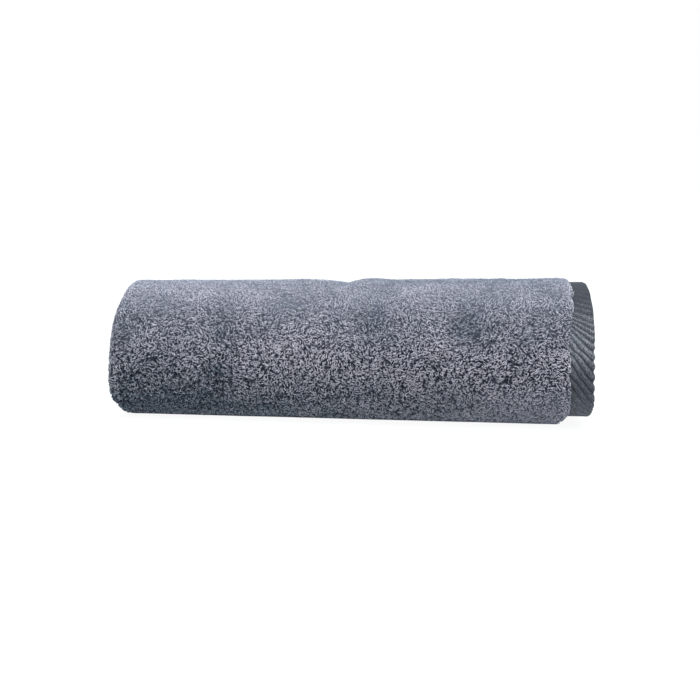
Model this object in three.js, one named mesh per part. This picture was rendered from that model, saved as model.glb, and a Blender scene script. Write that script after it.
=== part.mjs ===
// A terry hand towel, folded in half across its length and then rolled up across its width.
// It is one cloth: the doubled layers, the soft fold, the flat-woven ribbed borders and the narrow
// side hems are all one solid, wound a little over two turns around an open core.
// Millimetres. X runs along the roll towards the bordered ends of the towel, -Y is the smooth front
// and +Z is up. The origin is on the surface that the roll lies on, below the middle of the roll.
import * as THREE from 'three';

// The towel laid out flat
const towelWidth = 457;
const towelLength = 711;
const borderLoft = 2.6;
const sideHem = 8;
const sideHemLoft = 3;

// The doubled cloth
const layerGap = 0.8;
const innerBorderShows = 15;
const innerBorderSetBack = 3;
const pileEdgeSlope = 1.5;
const hemStep = 12;

// Ribs of the border, which run down and outwards across the front of the roll
const ribPitch = 7.6;
const ribRise = 0.45;
const ribLean = 17;
const scallop = 0.4;
const ribbedLength = 300;

// The roll as it lies
const flatPress = 2;
const taper = 0.06;
const foldDrawIn = 3;
const foldDrawInPerTurn = 1.5;

// One row for each stage of the winding. turned is the angle wound from the back of the roll, over
// the top and down the front; reach is the middle of the doubled cloth's distance from the axis;
// wide, sag and level press that circle broad, bottom-heavy and flat-sided; loft is one layer's
// thickness with its pile.
const windings = [
  { turned: -60, reach: 47.4, wide: 2.0, sag: -2.7, level: -0.4, loft: 8.6 },
  { turned: 235, reach: 47.4, wide: 2.0, sag: -2.7, level: -0.4, loft: 8.6 },
  { turned: 336, reach: 28.5, wide: 1.4, sag: -1.3, level: -0.2, loft: 8.3 },
  { turned: 450, reach: 27.7, wide: 1.2, sag: -1.0, level: 0.0, loft: 8.2 },
  { turned: 562, reach: 25.6, wide: 0.8, sag: -0.3, level: 0.0, loft: 7.9 },
  { turned: 700, reach: 10.6, wide: 0.3, sag: -0.1, level: 0.0, loft: 7.4 },
  { turned: 900, reach: 9.2, wide: 0.0, sag: 0.0, level: 0.0, loft: 7.2 },
];
const windingStart = -32;

// How much of the outer layer's border the pile leaves bare, around the roll
const bareBorder = [
  { turned: -60, bare: 14 },
  { turned: 90, bare: 10.5 },
  { turned: 150, bare: 15 },
  { turned: 180, bare: 16 },
  { turned: 235, bare: 15 },
  { turned: 360, bare: 14 },
  { turned: 900, bare: 14 },
];

// Broad swells and hollows of the outer face. along is measured from the middle of the roll.
const swells = [
  { along: -160, turned: 150, rise: -1.6, length: 16, girth: 22 },
  { along: -112, turned: 128, rise: 1.2, length: 24, girth: 16 },
  { along: -90, turned: 165, rise: -1.8, length: 12, girth: 32 },
  { along: -118, turned: 200, rise: -1.6, length: 26, girth: 20 },
  { along: -40, turned: 128, rise: -1.6, length: 20, girth: 12 },
  { along: -26, turned: 162, rise: 1.4, length: 24, girth: 20 },
  { along: -2, turned: 90, rise: -1.5, length: 16, girth: 30 },
  { along: 20, turned: 158, rise: -1.6, length: 14, girth: 34 },
  { along: 55, turned: 124, rise: 1.3, length: 24, girth: 16 },
  { along: 62, turned: 165, rise: 1.4, length: 18, girth: 20 },
  { along: 84, turned: 150, rise: -1.4, length: 12, girth: 18 },
  { along: 112, turned: 135, rise: 1.5, length: 18, girth: 18 },
  { along: -100, turned: 40, rise: 1.4, length: 30, girth: 24 },
  { along: -20, turned: 25, rise: -1.6, length: 22, girth: 30 },
  { along: 70, turned: 35, rise: 1.2, length: 34, girth: 22 },
];

// Steps of the mesh
const turnStep = 0.5;
const outerStep = ribPitch / 2;
const innerStep = 7;
const hemRamp = 2.5;
const shownSteps = 12;
const hiddenSteps = 4;
const foldSteps = 6;

const rollLength = towelLength / 2;
const radians = Math.PI / 180;

// A smooth step between two rows of a table, at a wound angle
function blend(rows, column, turned) {
  const next = Math.max(1, rows.findIndex((row) => row.turned > turned));
  const from = rows[next - 1];
  const to = rows[next];
  const share = THREE.MathUtils.clamp((turned - from.turned) / (to.turned - from.turned), 0, 1);
  const eased = (1 - Math.cos(Math.PI * share)) / 2;
  return from[column] + (to[column] - from[column]) * eased;
}

// Distance from the axis to the line that touches the winding at this angle
function reachAt(turned) {
  const angle = turned * radians;
  return blend(windings, 'reach', turned)
    + blend(windings, 'wide', turned) * Math.cos(2 * angle)
    + blend(windings, 'sag', turned) * Math.sin(3 * angle)
    + blend(windings, 'level', turned) * Math.cos(4 * angle);
}

// The point at an angle of the winding, set off outwards from the middle of the doubled cloth
function onWinding(turned, offset) {
  const nudge = 0.05;
  const angle = turned * radians;
  const reach = reachAt(turned) + offset;
  const slope = (reachAt(turned + nudge) - reachAt(turned - nudge)) / (2 * nudge * radians);
  return new THREE.Vector2(
    reach * Math.cos(angle) - slope * Math.sin(angle),
    reach * Math.sin(angle) + slope * Math.cos(angle),
  );
}

// The wound angle for a distance walked along the doubled cloth from its outer edge
const walk = [{ turned: windingStart, walked: 0 }];
while (walk.at(-1).walked < towelWidth) {
  const last = walk.at(-1);
  const turned = last.turned + turnStep;
  const pace = onWinding(turned, 0).distanceTo(onWinding(last.turned, 0));
  walk.push({ turned, walked: last.walked + pace });
}

function turnedAt(walked) {
  const next = Math.max(1, walk.findIndex((mark) => mark.walked >= walked));
  const from = walk[next - 1];
  const to = walk[next];
  const share = (walked - from.walked) / (to.walked - from.walked);
  return from.turned + (to.turned - from.turned) * share;
}

function swellAt(along, turned) {
  let rise = 0;
  for (const swell of swells) {
    const far = ((along - swell.along) / swell.length) ** 2 + ((turned - swell.turned) / swell.girth) ** 2;
    rise += swell.rise * Math.exp(-far);
  }
  return rise;
}

// One face of the doubled cloth cut across, from the outer layer's hem round the fold to the inner
// layer's hem. side is 1 outside the hairpin and -1 in its gap; layer is 1 outer, -1 inner and 0 in
// the fold; share runs from the fold to the pile's edge, or across the border's bare strip; travel is
// how far along the hairpin the point lies, from 0 to 1.
function hairpinFace(side, outerSteps, bendSteps, innerSteps) {
  const layerPoints = (layer, lengthSteps) => {
    const points = [
      { layer, side, zone: 'border', share: 1, travel: 0 },
      { layer, side, zone: 'border', share: 0, travel: 0.02 },
    ];
    for (let step = 0; step <= lengthSteps; step += 1) {
      const share = 1 - step / lengthSteps;
      points.push({ layer, side, zone: 'pile', share, travel: 0.48 - 0.45 * share });
    }
    return points;
  };
  const bendPoints = [];
  for (let step = 1; step < bendSteps; step += 1) {
    const turn = step / bendSteps;
    const travel = 0.48 + 0.04 * turn;
    bendPoints.push({ layer: 0, side, zone: 'pile', share: 0, bend: 90 + 180 * turn, travel });
  }
  const back = layerPoints(-1, innerSteps).reverse();
  const backPoints = back.map((point) => ({ ...point, travel: 1 - point.travel }));
  return [...layerPoints(1, outerSteps), ...bendPoints, ...backPoints];
}

// One point of the outline, wound up to its place in the roll
function placePoint(point, walked, ribUp) {
  const onBorder = point.zone === 'border';
  const edgeShare = onBorder ? 1 : point.share;
  const leanIn = THREE.MathUtils.smoothstep(walked, 0, 3 * ribLean);
  const leanOut = 1 - THREE.MathUtils.smoothstep(walked, ribbedLength, towelWidth - sideHem);
  const lean = onBorder ? ribLean * point.share * leanIn * leanOut : 0;
  const shortfall = point.layer === 1 ? hemStep * edgeShare * (1 - walked / towelWidth) : 0;
  const turned = turnedAt(THREE.MathUtils.clamp(walked + lean + shortfall, 0, towelWidth));

  const loft = blend(windings, 'loft', turned);
  const fromHem = Math.min(walked, towelWidth - walked) - sideHem;
  const pileLoft = THREE.MathUtils.lerp(sideHemLoft, loft, THREE.MathUtils.smoothstep(fromHem, 0, hemRamp));
  const ribs = walked > sideHem && walked < ribbedLength ? ribRise : 0;
  const thickness = onBorder ? borderLoft + (ribUp ? ribs : -ribs) : pileLoft;

  const foldRadius = (loft + layerGap) / 2;
  const drawIn = foldDrawIn * (1 + Math.sin(turned * radians)) + (foldDrawInPerTurn * turned) / 360;
  const foldX = -rollLength / 2 + foldRadius + loft / 2 + drawIn;
  const outerFace = point.layer === 1 && point.side === 1;
  const bare = outerFace ? blend(bareBorder, 'bare', turned) : innerBorderShows;
  const setBack = point.layer === -1 ? innerBorderSetBack : 0;
  const hemX = rollLength / 2 - setBack - (onBorder && !ribUp ? scallop : 0);
  const pileEdgeX = rollLength / 2 - setBack - bare;

  let x = THREE.MathUtils.lerp(foldX, pileEdgeX - pileEdgeSlope, point.share);
  if (onBorder) x = THREE.MathUtils.lerp(pileEdgeX, hemX, point.share);
  const fromMiddle = foldRadius + (point.side * thickness) / 2;
  let offset = point.layer * fromMiddle;
  if (point.layer === 0) {
    x = foldX + fromMiddle * Math.cos(point.bend * radians);
    offset = fromMiddle * Math.sin(point.bend * radians);
  }
  if (outerFace && !onBorder) offset += swellAt(x, turned);

  const { x: y, y: z } = onWinding(turned, offset);
  return new THREE.Vector3(x, y, z);
}

// Where the mesh has a row across the doubled cloth, from its outer edge to the core
function rowPlaces() {
  const places = [0, sideHem, sideHem + hemRamp];
  while (places.at(-1) + outerStep < ribbedLength) places.push(places.at(-1) + outerStep);
  const innerRows = Math.round((towelWidth - sideHem - hemRamp - places.at(-1)) / innerStep);
  const stride = (towelWidth - sideHem - hemRamp - places.at(-1)) / innerRows;
  for (let row = 0; row < innerRows; row += 1) places.push(places.at(-1) + stride);
  places.push(towelWidth - sideHem, towelWidth);
  return places;
}

// Closes one side hem with triangles between the two faces of the doubled cloth
function closeHem(outside, inside) {
  const triangles = [];
  let near = 0;
  let far = 0;
  while (near < outside.length - 1 || far < inside.length - 1) {
    const nextNear = outside[near + 1]?.travel ?? Infinity;
    const nextFar = inside[far + 1]?.travel ?? Infinity;
    if (nextNear <= nextFar) {
      triangles.push([outside[near].spot, inside[far].spot, outside[near + 1].spot]);
      near += 1;
    } else {
      triangles.push([outside[near].spot, inside[far].spot, inside[far + 1].spot]);
      far += 1;
    }
  }
  return triangles;
}

function rolledTowel() {
  const outside = hairpinFace(1, shownSteps, foldSteps, hiddenSteps);
  const inside = hairpinFace(-1, hiddenSteps, foldSteps / 3, hiddenSteps);
  const outline = [...outside, ...inside.toReversed()];
  outline.forEach((point, spot) => { point.spot = spot; });
  const rows = rowPlaces().map((walked, row) =>
    outline.map((point) => placePoint(point, walked, row % 2 === 0)));

  // The lowest of the outer face is pressed flat, and the roll stands a little higher towards the hems
  const lowest = Math.min(...rows.flat().map((place) => place.z)) + flatPress;
  const positions = [];
  for (const place of rows.flat()) {
    const size = 1 + (taper * place.x) / rollLength;
    positions.push(place.x, place.y * size, Math.max(0, (place.z - lowest) * size));
  }

  const around = outline.length;
  const triangles = [];
  for (let row = 0; row < rows.length - 1; row += 1) {
    for (let spot = 0; spot < around; spot += 1) {
      const a = row * around + spot;
      const b = row * around + ((spot + 1) % around);
      triangles.push(a, b, b + around, a, b + around, a + around);
    }
  }
  const lastRow = (rows.length - 1) * around;
  for (const [a, b, c] of closeHem(outside, inside)) {
    triangles.push(a, b, c, lastRow + c, lastRow + b, lastRow + a);
  }

  const geometry = new THREE.BufferGeometry();
  geometry.setAttribute('position', new THREE.Float32BufferAttribute(positions, 3));
  geometry.setIndex(triangles);
  geometry.computeBoundingBox();
  const middle = geometry.boundingBox.getCenter(new THREE.Vector3());
  geometry.translate(-middle.x, -middle.y, 0);
  geometry.computeVertexNormals();
  return geometry;
}

// Slate-blue cotton terry
const terry = new THREE.MeshStandardMaterial({ color: 0x70747f, roughness: 0.95, metalness: 0 });
const towel = new THREE.Mesh(rolledTowel(), terry);
towel.name = 'towel';

const rolledHandTowel = new THREE.Group();
rolledHandTowel.add(towel);

export default rolledHandTowel;
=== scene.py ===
# A rolled terry hand towel: one cloth, doubled and wound up, with its loops, woven borders and side hems
import math
from functools import partial
import bpy
import numpy as np
from mathutils import Matrix, Vector, noise


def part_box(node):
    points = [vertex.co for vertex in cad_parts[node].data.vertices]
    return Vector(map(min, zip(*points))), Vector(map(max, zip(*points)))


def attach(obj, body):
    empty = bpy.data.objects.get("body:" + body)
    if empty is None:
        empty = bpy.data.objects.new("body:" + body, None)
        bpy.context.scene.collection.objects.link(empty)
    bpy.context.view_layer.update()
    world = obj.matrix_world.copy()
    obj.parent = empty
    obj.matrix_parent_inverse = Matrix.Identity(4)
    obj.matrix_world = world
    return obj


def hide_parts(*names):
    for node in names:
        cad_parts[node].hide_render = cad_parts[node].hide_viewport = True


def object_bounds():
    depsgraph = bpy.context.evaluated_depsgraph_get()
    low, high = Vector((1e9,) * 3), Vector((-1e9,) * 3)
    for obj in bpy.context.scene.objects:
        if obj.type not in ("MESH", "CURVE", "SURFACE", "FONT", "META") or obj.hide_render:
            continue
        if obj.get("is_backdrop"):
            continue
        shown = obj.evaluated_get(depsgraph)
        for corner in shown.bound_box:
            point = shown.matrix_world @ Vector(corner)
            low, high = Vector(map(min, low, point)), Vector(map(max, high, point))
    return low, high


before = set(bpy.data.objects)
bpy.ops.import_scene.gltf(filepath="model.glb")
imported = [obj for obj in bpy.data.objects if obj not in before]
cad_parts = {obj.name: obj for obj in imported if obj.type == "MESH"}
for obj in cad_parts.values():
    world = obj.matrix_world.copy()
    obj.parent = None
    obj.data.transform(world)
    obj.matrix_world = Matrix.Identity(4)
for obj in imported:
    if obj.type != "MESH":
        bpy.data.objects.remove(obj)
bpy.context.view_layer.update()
towelLow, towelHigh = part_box("towel")
mm = 0.001


def linear(hexColour):
    # sRGB hex to the linear values that Blender's sockets take
    parts = [int(hexColour[i:i + 2], 16) / 255 for i in (1, 3, 5)]
    return tuple(p / 12.92 if p <= 0.04045 else ((p + 0.055) / 1.055) ** 2.4 for p in parts) + (1.0,)


def addNode(tree, kind, settings=None, links=None):
    # a node with its settings, unlinked inputs and links; a linked node gives its first output
    node = tree.nodes.new(kind)
    for key, value in (settings or {}).items():
        if isinstance(key, str) and hasattr(node, key):
            setattr(node, key, value)
        else:
            node.inputs[key].default_value = value
    for key, source in (links or {}).items():
        tree.links.new(source.outputs[0] if hasattr(source, "outputs") else source, node.inputs[key])
    return node


def addObject(name, data):
    made = bpy.data.objects.new(name, data)
    bpy.context.scene.collection.objects.link(made)
    return made


def smoothStep(value, low, high):
    share = np.clip((np.asarray(value, float) - low) / (high - low), 0, 1)
    return share * share * (3 - 2 * share)


def lerp(a, b, share):
    return a + (b - a) * share


def table(columns, *rows):
    # a table by its columns. The first one says where a row holds: the angle turned round the roll, or
    # the distance walked along the cloth from its outer edge.
    return dict(zip(columns.split(), np.array(rows, float).T.copy()))


def blend(rows, column, place):
    # an eased step from one row of a table to the next
    marks, values = next(iter(rows.values())), rows[column]
    place = np.asarray(place, float)
    spot = np.clip(np.searchsorted(marks, place, side="right"), 1, len(marks) - 1)
    share = np.clip((place - marks[spot - 1]) / (marks[spot] - marks[spot - 1]), 0, 1)
    return lerp(values[spot - 1], values[spot], (1 - np.cos(np.pi * share)) / 2)


# The winding, in millimetres and degrees, as the part's solid has it.
# turned runs from the back of the roll, over the top and down the front.
roll = {
    "towelWidth": 457, "towelLength": 711, "borderLoft": 2.6, "sideHem": 8, "sideHemLoft": 3,
    "layerGap": 0.8, "innerBorderShows": 15, "innerBorderSetBack": 3, "hemStep": 12, "ribPitch": 7.6,
    "flatPress": 2, "taper": 0.06, "foldDrawIn": 3, "foldDrawInPerTurn": 1.5, "start": -32,
}
windings = table(
    "turned reach wide sag level loft",
    (-60, 47.4, 2.0, -2.7, -0.4, 8.6), (235, 47.4, 2.0, -2.7, -0.4, 8.6), (336, 28.5, 1.4, -1.3, -0.2, 8.3),
    (450, 27.7, 1.2, -1.0, 0.0, 8.2), (562, 25.6, 0.8, -0.3, 0.0, 7.9), (700, 10.6, 0.3, -0.1, 0.0, 7.4),
    (900, 9.2, 0.0, 0.0, 0.0, 7.2))
bareBorder = table(  # how much of the outer layer's border the pile leaves bare
    "turned bare",
    (-60, 14), (90, 10.5), (150, 15), (180, 16), (235, 15), (360, 14), (900, 14))
swells = [  # broad swells and hollows of the outer face: along, turned, rise, length, girth
    (-160, 150, -1.6, 16, 22), (-112, 128, 1.2, 24, 16), (-90, 165, -1.8, 12, 32),
    (-118, 200, -1.6, 26, 20), (-40, 128, -1.6, 20, 12), (-26, 162, 1.4, 24, 20),
    (-2, 90, -1.5, 16, 30), (20, 158, -1.6, 14, 34), (55, 124, 1.3, 24, 16),
    (62, 165, 1.4, 18, 20), (84, 150, -1.4, 12, 18), (112, 135, 1.5, 18, 18),
    (-100, 40, 1.4, 30, 24), (-20, 25, -1.6, 22, 30), (70, 35, 1.2, 34, 22),
    # from here on the scene's own, mostly the dip and the low rises along the top
    (0, 92, 0.7, 900, 30), (-2, 90, -0.9, 5, 22), (13, 90, 1.7, 11, 24), (-30, 90, 0.6, 20, 24),
    (88, 88, 0.8, 34, 24), (152, 88, 1.3, 12, 24), (158, 160, -2.4, 9, 4), (154, 184, 1.0, 14, 18),
    (160, 128, 0.8, 8, 10),
]


def reachAt(turned):
    # distance from the axis to the line that touches the winding at this angle
    angle = np.radians(turned)
    return (blend(windings, "reach", turned) + blend(windings, "wide", turned) * np.cos(2 * angle)
            + blend(windings, "sag", turned) * np.sin(3 * angle)
            + blend(windings, "level", turned) * np.cos(4 * angle))


def onWinding(turned, offset):
    # the point at an angle of the winding, set off outwards from the middle of the doubled cloth
    nudge = 0.05
    angle = np.radians(turned)
    reach = reachAt(turned) + offset
    slope = (reachAt(turned + nudge) - reachAt(turned - nudge)) / (2 * np.radians(nudge))
    return reach * np.cos(angle) - slope * np.sin(angle), reach * np.sin(angle) + slope * np.cos(angle)


walkStep, walkSteps = 0.5, 2000
walkTurned = roll["start"] + walkStep * np.arange(walkSteps)
walkY, walkZ = onWinding(walkTurned, 0)
walkLength = np.concatenate([[0], np.cumsum(np.hypot(np.diff(walkY), np.diff(walkZ)))])


def turnedAt(walked):
    return np.interp(walked, walkLength, walkTurned)


def swellAt(along, turned):
    rise = 0
    for place, angle, height, length, girth in swells:
        rise = rise + height * np.exp(-((along - place) / length) ** 2 - ((turned - angle) / girth) ** 2)
    return rise


print("winding done")

# The cloth: its ground, its borders and its side hems, in millimetres
cloth = {
    "ribRise": 0.62,
    "bedInset": 1.6, "foldInset": 0.5, "gapInset": 0.3,  # how far the ground lies below the loops' tips
    "edgeInset": 1.4, "edgeRound": 3.2,  # the pile's rounded edge at the border
    "hemRamp": 2.5, "hemRound": 1.5, "hemThinnest": 0.3,
    "rippleSmall": 0.3, "rippleBroad": 0.55, "smallRipple": 6.5, "broadRipple": 17,  # strengths and sizes
    "bandLift": 1.5, "bandLiftBelow": 1.9,  # the borders stand higher than the middle of their pile
    "foldFullness": 1.04,
    "turnGap": 0.15, "packedBy": (-0.3, 1.5),  # turns that lie on each other
    "foldEnd": (12, 24), "hemEnd": (8, 16), "gapEnd": (10, 4),  # where the seen ends pass into the middle
    "outerTo": 340, "liftTo": 330,  # the angle turned at which the outermost turn counts as hidden
    "outerSteps": 54, "innerSteps": 14, "gapSteps": 12, "foldSteps": 12, "gapFoldSteps": 4,
    "bandSteps": 10, "wallSteps": 6, "gapBandSteps": 6, "gapWallSteps": 3,
}
# the grooves between the ribs, by the distance wound, and how far each leans down across the border.
# They are drawn together over the top and fan out down the front.
grooves = table(
    "walked lean",
    (10.0, 0.0), (17.6, 1.0), (25.2, 2.0), (32.8, 3.0), (40.4, 4.0), (48.0, 5.0), (55.6, 5.0),
    (63.2, 5.0), (70.8, 5.0), (78.2, 5.0), (85.4, 4.8), (92.0, 4.6), (98.0, 4.5), (103.4, 4.5),
    (108.4, 4.5), (113.0, 4.5), (117.4, 4.5), (121.6, 4.5), (125.8, 4.8), (130.3, 6.2), (132.9, 8.0),
    (135.2, 10.2), (138.0, 12.4), (141.0, 15.2), (145.6, 17.2), (150.1, 19.2), (155.8, 20.8),
    (162.4, 21.3), (169.3, 21.5), (176.9, 20.5), (185.0, 16.0), (192.6, 12.5), (200.2, 11.0),
    (298.8, 9.0), (446.8, 0.0))
fannedGrooves = 33  # the last two rows only carry the lean on; ribs of an even pitch follow the fan
ribDepth = table(  # how deep the ribs are, how much they dent the hem, and how far the hem stands out
    "turned depth dent out",
    (-60, 0.8, 0.4, 0.0), (60, 0.9, 0.3, -1.0), (88, 0.3, 0.0, -3.2), (100, 0.15, 0.0, -1.9),
    (122, 0.2, 0.0, -0.7), (138, 0.4, 0.0, 0.2), (154, 0.6, 0.25, 0.7), (163, 0.75, 1.1, 0.7),
    (186, 0.65, 1.2, 1.0), (198, 0.4, 0.9, 1.4), (212, 0.15, 0.6, 1.8), (300, 0.5, 0.5, 0.5),
    (900, 0.8, 0.5, 0.0))
ribNarrow = table(  # how narrow the grooves are
    "walked narrow",
    (0, 3.0), (60, 2.0), (110, 1.0), (136, 1.2), (150, 3.0), (165, 4.5), (900, 3.6))
foldTuck = table(  # how far the fold is tucked in where the roll lies on its corner
    "turned tuck",
    (-60, 0.0), (115, 0.0), (145, -1.6), (185, -0.9), (202, 0.0), (218, 0.6), (238, 4.2), (262, 5.5),
    (310, 1.0), (345, 0.0), (900, 0.0))
edgeBulge = table(  # how far the pile's edge pushes out over the border, in tufts and folds
    "turned out",
    (-60, 0.0), (-10, 1.0), (40, -0.5), (84, -4.6), (100, -3.4), (112, -1.6), (119, 0.6), (126, -0.6),
    (134, 1.0), (145, -0.4), (157, -1.4), (162, -3.2), (166, -0.4), (174, -0.3), (179, -1.4), (187, 0.6),
    (198, 0.8), (214, 0.4), (236, 0.4), (256, -3.0), (300, -1.0), (900, 0.0))
reliefs = table(  # how open the pile is: brushed smooth over the top, standing apart down the front; it also sets the painted shade of the loops' feet and the ground, and the painted light of the ground over the top
    "turned relief",
    (-60, 0.75), (20, 0.65), (85, 0.35), (122, 0.5), (150, 0.85), (172, 1.0), (225, 1.0), (330, 0.8),
    (900, 0.8))
borderZone, edgeZone, pileZone, foldZone = range(4)
hemAngles = (72, 50, 28)  # the steps round the border's turned end


def outlineFace(side, bandSteps, wallSteps, outerSteps, foldSteps, innerSteps):
    # one face of the doubled cloth cut across, from the outer layer's hem round the fold to the inner
    # hem. travel says how far along that way a station lies, from 0 to 1.
    def layerStations(layer, steps):
        stations = []
        hemRadius, width = roll["borderLoft"] / 2, roll["innerBorderShows"]
        for angle in hemAngles:
            share = 1 - hemRadius * (1 - math.sin(math.radians(angle))) / width
            thick = math.cos(math.radians(angle))
            stations.append(dict(share=share, thick=thick, zone=borderZone, travel=0.02 * (1 - share)))
        for step in range(bandSteps + 1):
            share = lerp(1 - hemRadius / width, 0, step / bandSteps)
            stations.append(dict(share=share, zone=borderZone, travel=0.02 * (1 - share)))
        for step in range(1, wallSteps + 1):
            stations.append(dict(share=1, zone=edgeZone, wall=90 * step / wallSteps,
                                 travel=0.02 + 0.01 * step / wallSteps))
        for step in range(1, steps + 1):
            share = 1 - step / steps
            stations.append(dict(share=share, zone=pileZone, travel=0.48 - 0.45 * share))
        return [dict(layer=layer, side=side, wall=0, bend=0, thick=1) | station for station in stations]

    bends = [dict(layer=0, side=side, wall=0, bend=90 + 180 * step / foldSteps, share=0, thick=1,
                  zone=foldZone, travel=0.48 + 0.04 * step / foldSteps) for step in range(1, foldSteps)]
    back = [station | dict(travel=1 - station["travel"])
            for station in reversed(layerStations(-1, innerSteps))]
    return layerStations(1, outerSteps) + bends + back


outsideFace = outlineFace(1, cloth["bandSteps"], cloth["wallSteps"], cloth["outerSteps"],
                          cloth["foldSteps"], cloth["innerSteps"])
insideFace = outlineFace(-1, cloth["gapBandSteps"], cloth["gapWallSteps"], cloth["gapSteps"],
                         cloth["gapFoldSteps"], cloth["gapSteps"])
outline = outsideFace + insideFace[::-1]
stations = {key: np.array([station[key] for station in outline], float)[None, :]
            for key in ("layer", "side", "zone", "share", "wall", "bend", "thick", "travel")}
around = len(outline)
outerCount = sum(station["layer"] == 1 for station in outsideFace)

# the rows of the mesh across the roll: close together at the side hems and where the ribs fan out
edgeRows = [0, 0.3, 0.8, 1.6, 3.0, 4.6, 6.3, 7.2, 8.0, 8.7, 9.5]
rowsFrom = 10.3  # where the even rows start, from either edge
fineFrom, fineTo, fineRows, plainRows = 70, 215, 6, 4  # rows to a rib
fanned = grooves["walked"][:fannedGrooves]
evenGrooves = np.arange(fanned[-1] + roll["ribPitch"], roll["towelWidth"] - 9, roll["ribPitch"])
groovePlaces = np.concatenate([fanned, evenGrooves])
grooveSteps = []
for index, place in enumerate(groovePlaces[:-1]):
    ribRows = fineRows if fineFrom < place < fineTo else plainRows
    grooveSteps += [step / ribRows + index for step in range(ribRows)]
middleRows = np.interp(grooveSteps, np.arange(len(groovePlaces)), groovePlaces)
middleRows = middleRows[(middleRows > rowsFrom) & (middleRows < roll["towelWidth"] - rowsFrom)]
rowPlaces = np.concatenate([edgeRows, middleRows, roll["towelWidth"] - np.array(edgeRows[::-1])])
rows = len(rowPlaces)
walked = rowPlaces[:, None]
fromSideHem = np.minimum(walked, roll["towelWidth"] - walked)
ribPhase = np.interp(walked, groovePlaces, np.arange(len(groovePlaces)))
ribWave = 1 - 2 * np.abs(np.cos(np.pi * ribPhase)) ** blend(ribNarrow, "narrow", walked)  # 1 on a rib
ribWave = ribWave * smoothStep(fromSideHem, 7.5, 10)  # the ribs run out at the side hems
hemEdge = np.clip(fromSideHem / cloth["hemRound"], 0, 1)
hemThick = np.maximum(cloth["hemThinnest"], np.sqrt(1 - (1 - hemEdge) ** 2))  # rounded at the edge


def ripples(along, turned):
    # the unevenness of a washed and handled pile; a degree of the roll is about a millimetre
    result = np.zeros(along.shape)
    for size, strength in ((cloth["broadRipple"], cloth["rippleBroad"]),
                           (cloth["smallRipple"], cloth["rippleSmall"])):
        values = [noise.noise(Vector((a / size, t * 0.97 / size, size)))
                  for a, t in zip(along.ravel(), turned.ravel())]
        result += strength * np.array(values).reshape(along.shape)
    return result


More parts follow.
